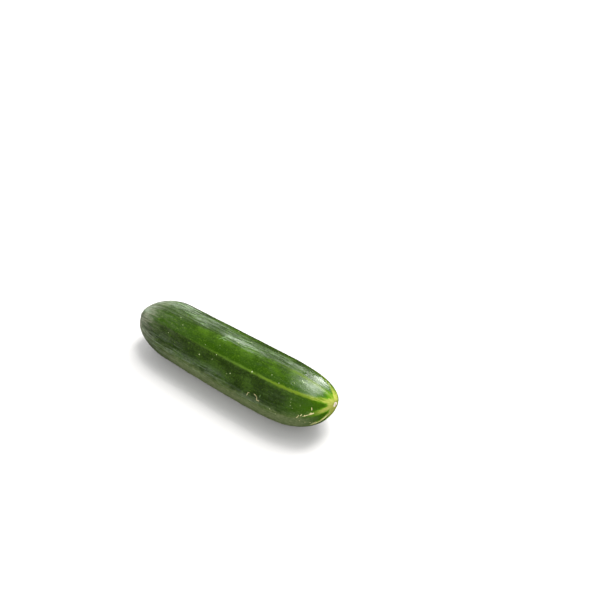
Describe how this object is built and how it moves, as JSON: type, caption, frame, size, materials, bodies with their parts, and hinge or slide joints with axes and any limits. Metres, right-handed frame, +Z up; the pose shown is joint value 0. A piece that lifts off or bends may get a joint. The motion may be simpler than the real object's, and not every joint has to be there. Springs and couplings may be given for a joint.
{
  "type": "cucumber",
  "caption": "Whole snack cucumber with soft ridges, a short cut stem and a dry blossom scar, lying on its underside.",
  "frame": {"origin": "middle of the fruit's box, on the surface that it lies on", "axes": "+X along the fruit from the cut stem to the blossom end, +Z up, +Y to the back as the picture shows it"},
  "size_m": [0.1296, 0.0352, 0.0345],
  "materials": {
    "skin": "satin"
  },
  "bodies": {
    "root": {"cucumber": "skin"}
  },
  "joints": []
}
